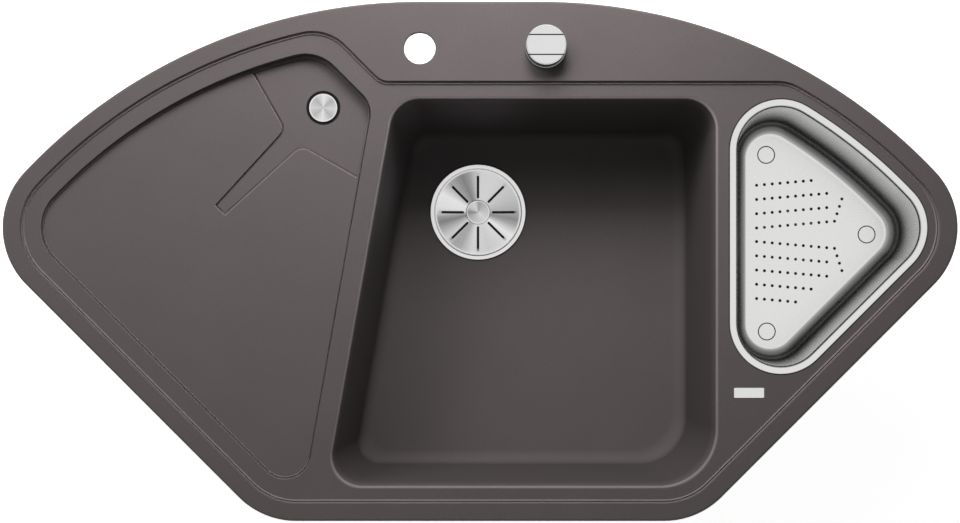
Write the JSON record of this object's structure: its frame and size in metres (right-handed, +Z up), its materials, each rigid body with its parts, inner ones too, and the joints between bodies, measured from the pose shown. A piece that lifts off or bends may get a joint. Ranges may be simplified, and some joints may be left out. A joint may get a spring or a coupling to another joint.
{
  "type": "corner kitchen sink",
  "caption": "Corner kitchen sink for a worktop: main bowl with a lift-up strainer plug worked by a deck knob, small bowl with a lift-out colander, drainer, overflow and waste pipes.",
  "frame": {"origin": "on the worktop's surface, on the rim's flat underside at the middle of the width, 11 mm behind the front edge", "axes": "+Z up out of the bowls, +X to the right towards the small bowl, +Y from the front edge to the tap deck"},
  "size_m": [1.057, 0.575, 0.33],
  "materials": {
    "granite": "fine-grained stone and resin moulding, dark warm grey, matte",
    "steel": "brushed and polished stainless steel",
    "satin": "satin plated metal",
    "black_plastic": "matte black",
    "grey_plastic": "light grey, slightly glossy",
    "rubber": "matte black",
    "zinc": "zinc-plated"
  },
  "bodies": {
    "sink": {"sink_body": "granite", "outlet_flange": "steel", "side_flange": "steel", "control_rosette": "satin", "cable_gland": "black_plastic", "control_case": "black_plastic", "control_cover": "black_plastic", "control_nut": "black_plastic", "overflow_insert": "black_plastic", "outlet_nut": "grey_plastic", "waste_body": "grey_plastic", "overflow_coupling": "grey_plastic", "overflow_pipe": "grey_plastic", "overflow_nut_upper": "grey_plastic", "overflow_nut_lower": "grey_plastic", "side_waste": "grey_plastic", "side_pipe": "grey_plastic", "main_pipe": "grey_plastic", "main_pipe_nut": "grey_plastic", "side_pipe_nut": "grey_plastic", "waste_tee": "grey_plastic", "outlet_seal": "rubber", "control_washer": "rubber", "overflow_seal": "rubber", "side_seal": "rubber", "clamp_front_left": "zinc", "clamp_front_right": "zinc", "clamp_side_left": "zinc", "clamp_side_right": "zinc", "clamp_back_left": "zinc", "clamp_back_right": "zinc", "clamp_screw_front_left": "zinc", "clamp_screw_front_right": "zinc", "clamp_screw_side_left": "zinc", "clamp_screw_side_right": "zinc", "clamp_screw_back_left": "zinc", "clamp_screw_back_right": "zinc"},
    "colander": {"colander": "steel"},
    "knob": {"control_knob": "satin", "control_shaft": "steel", "control_drum": "black_plastic"},
    "lever": {"lift_lever": "black_plastic"},
    "pin": {"lift_pin": "steel"},
    "strainer": {"strainer_disc": "steel", "strainer_button": "steel", "strainer_plug": "black_plastic", "strainer_seal": "rubber"},
    "overflow_cover": {"overflow_cover": "steel"},
    "side_strainer": {"side_strainer": "steel"}
  },
  "joints": [
    {"name": "knob_turn", "type": "hinge", "parent": "sink", "child": "knob", "pos_m": [0.0725, 0.5124, 0], "axis": [0, 0, -1], "range_deg": [0, 90]},
    {"name": "lever_swing", "type": "hinge", "parent": "sink", "child": "lever", "pos_m": [-0.003, 0.32831, -0.24086], "axis": [1, 0, 0], "range_deg": [0, 31]},
    {"name": "pin_lift", "type": "slide", "parent": "sink", "child": "pin", "axis": [0, 0, 1], "range_m": [0, 0.00909]},
    {"name": "strainer_lift_out", "type": "slide", "parent": "pin", "child": "strainer", "axis": [0, 0, 1], "range_m": [0, 0.2]},
    {"name": "colander_lift_out", "type": "slide", "parent": "sink", "child": "colander", "axis": [0, 0, 1], "range_m": [0, 0.12]},
    {"name": "overflow_cover_pull", "type": "slide", "parent": "sink", "child": "overflow_cover", "axis": [0, 0, 1], "range_m": [0, 0.03]},
    {"name": "side_strainer_lift", "type": "slide", "parent": "sink", "child": "side_strainer", "axis": [0, 0, 1], "range_m": [0, 0.025]}
  ],
  "couplings": [
    {"joint": "lever_swing", "follows": "knob_turn", "ratio": 0.34444},
    {"joint": "pin_lift", "follows": "knob_turn", "m_per_rad": 0.0057843}
  ]
}
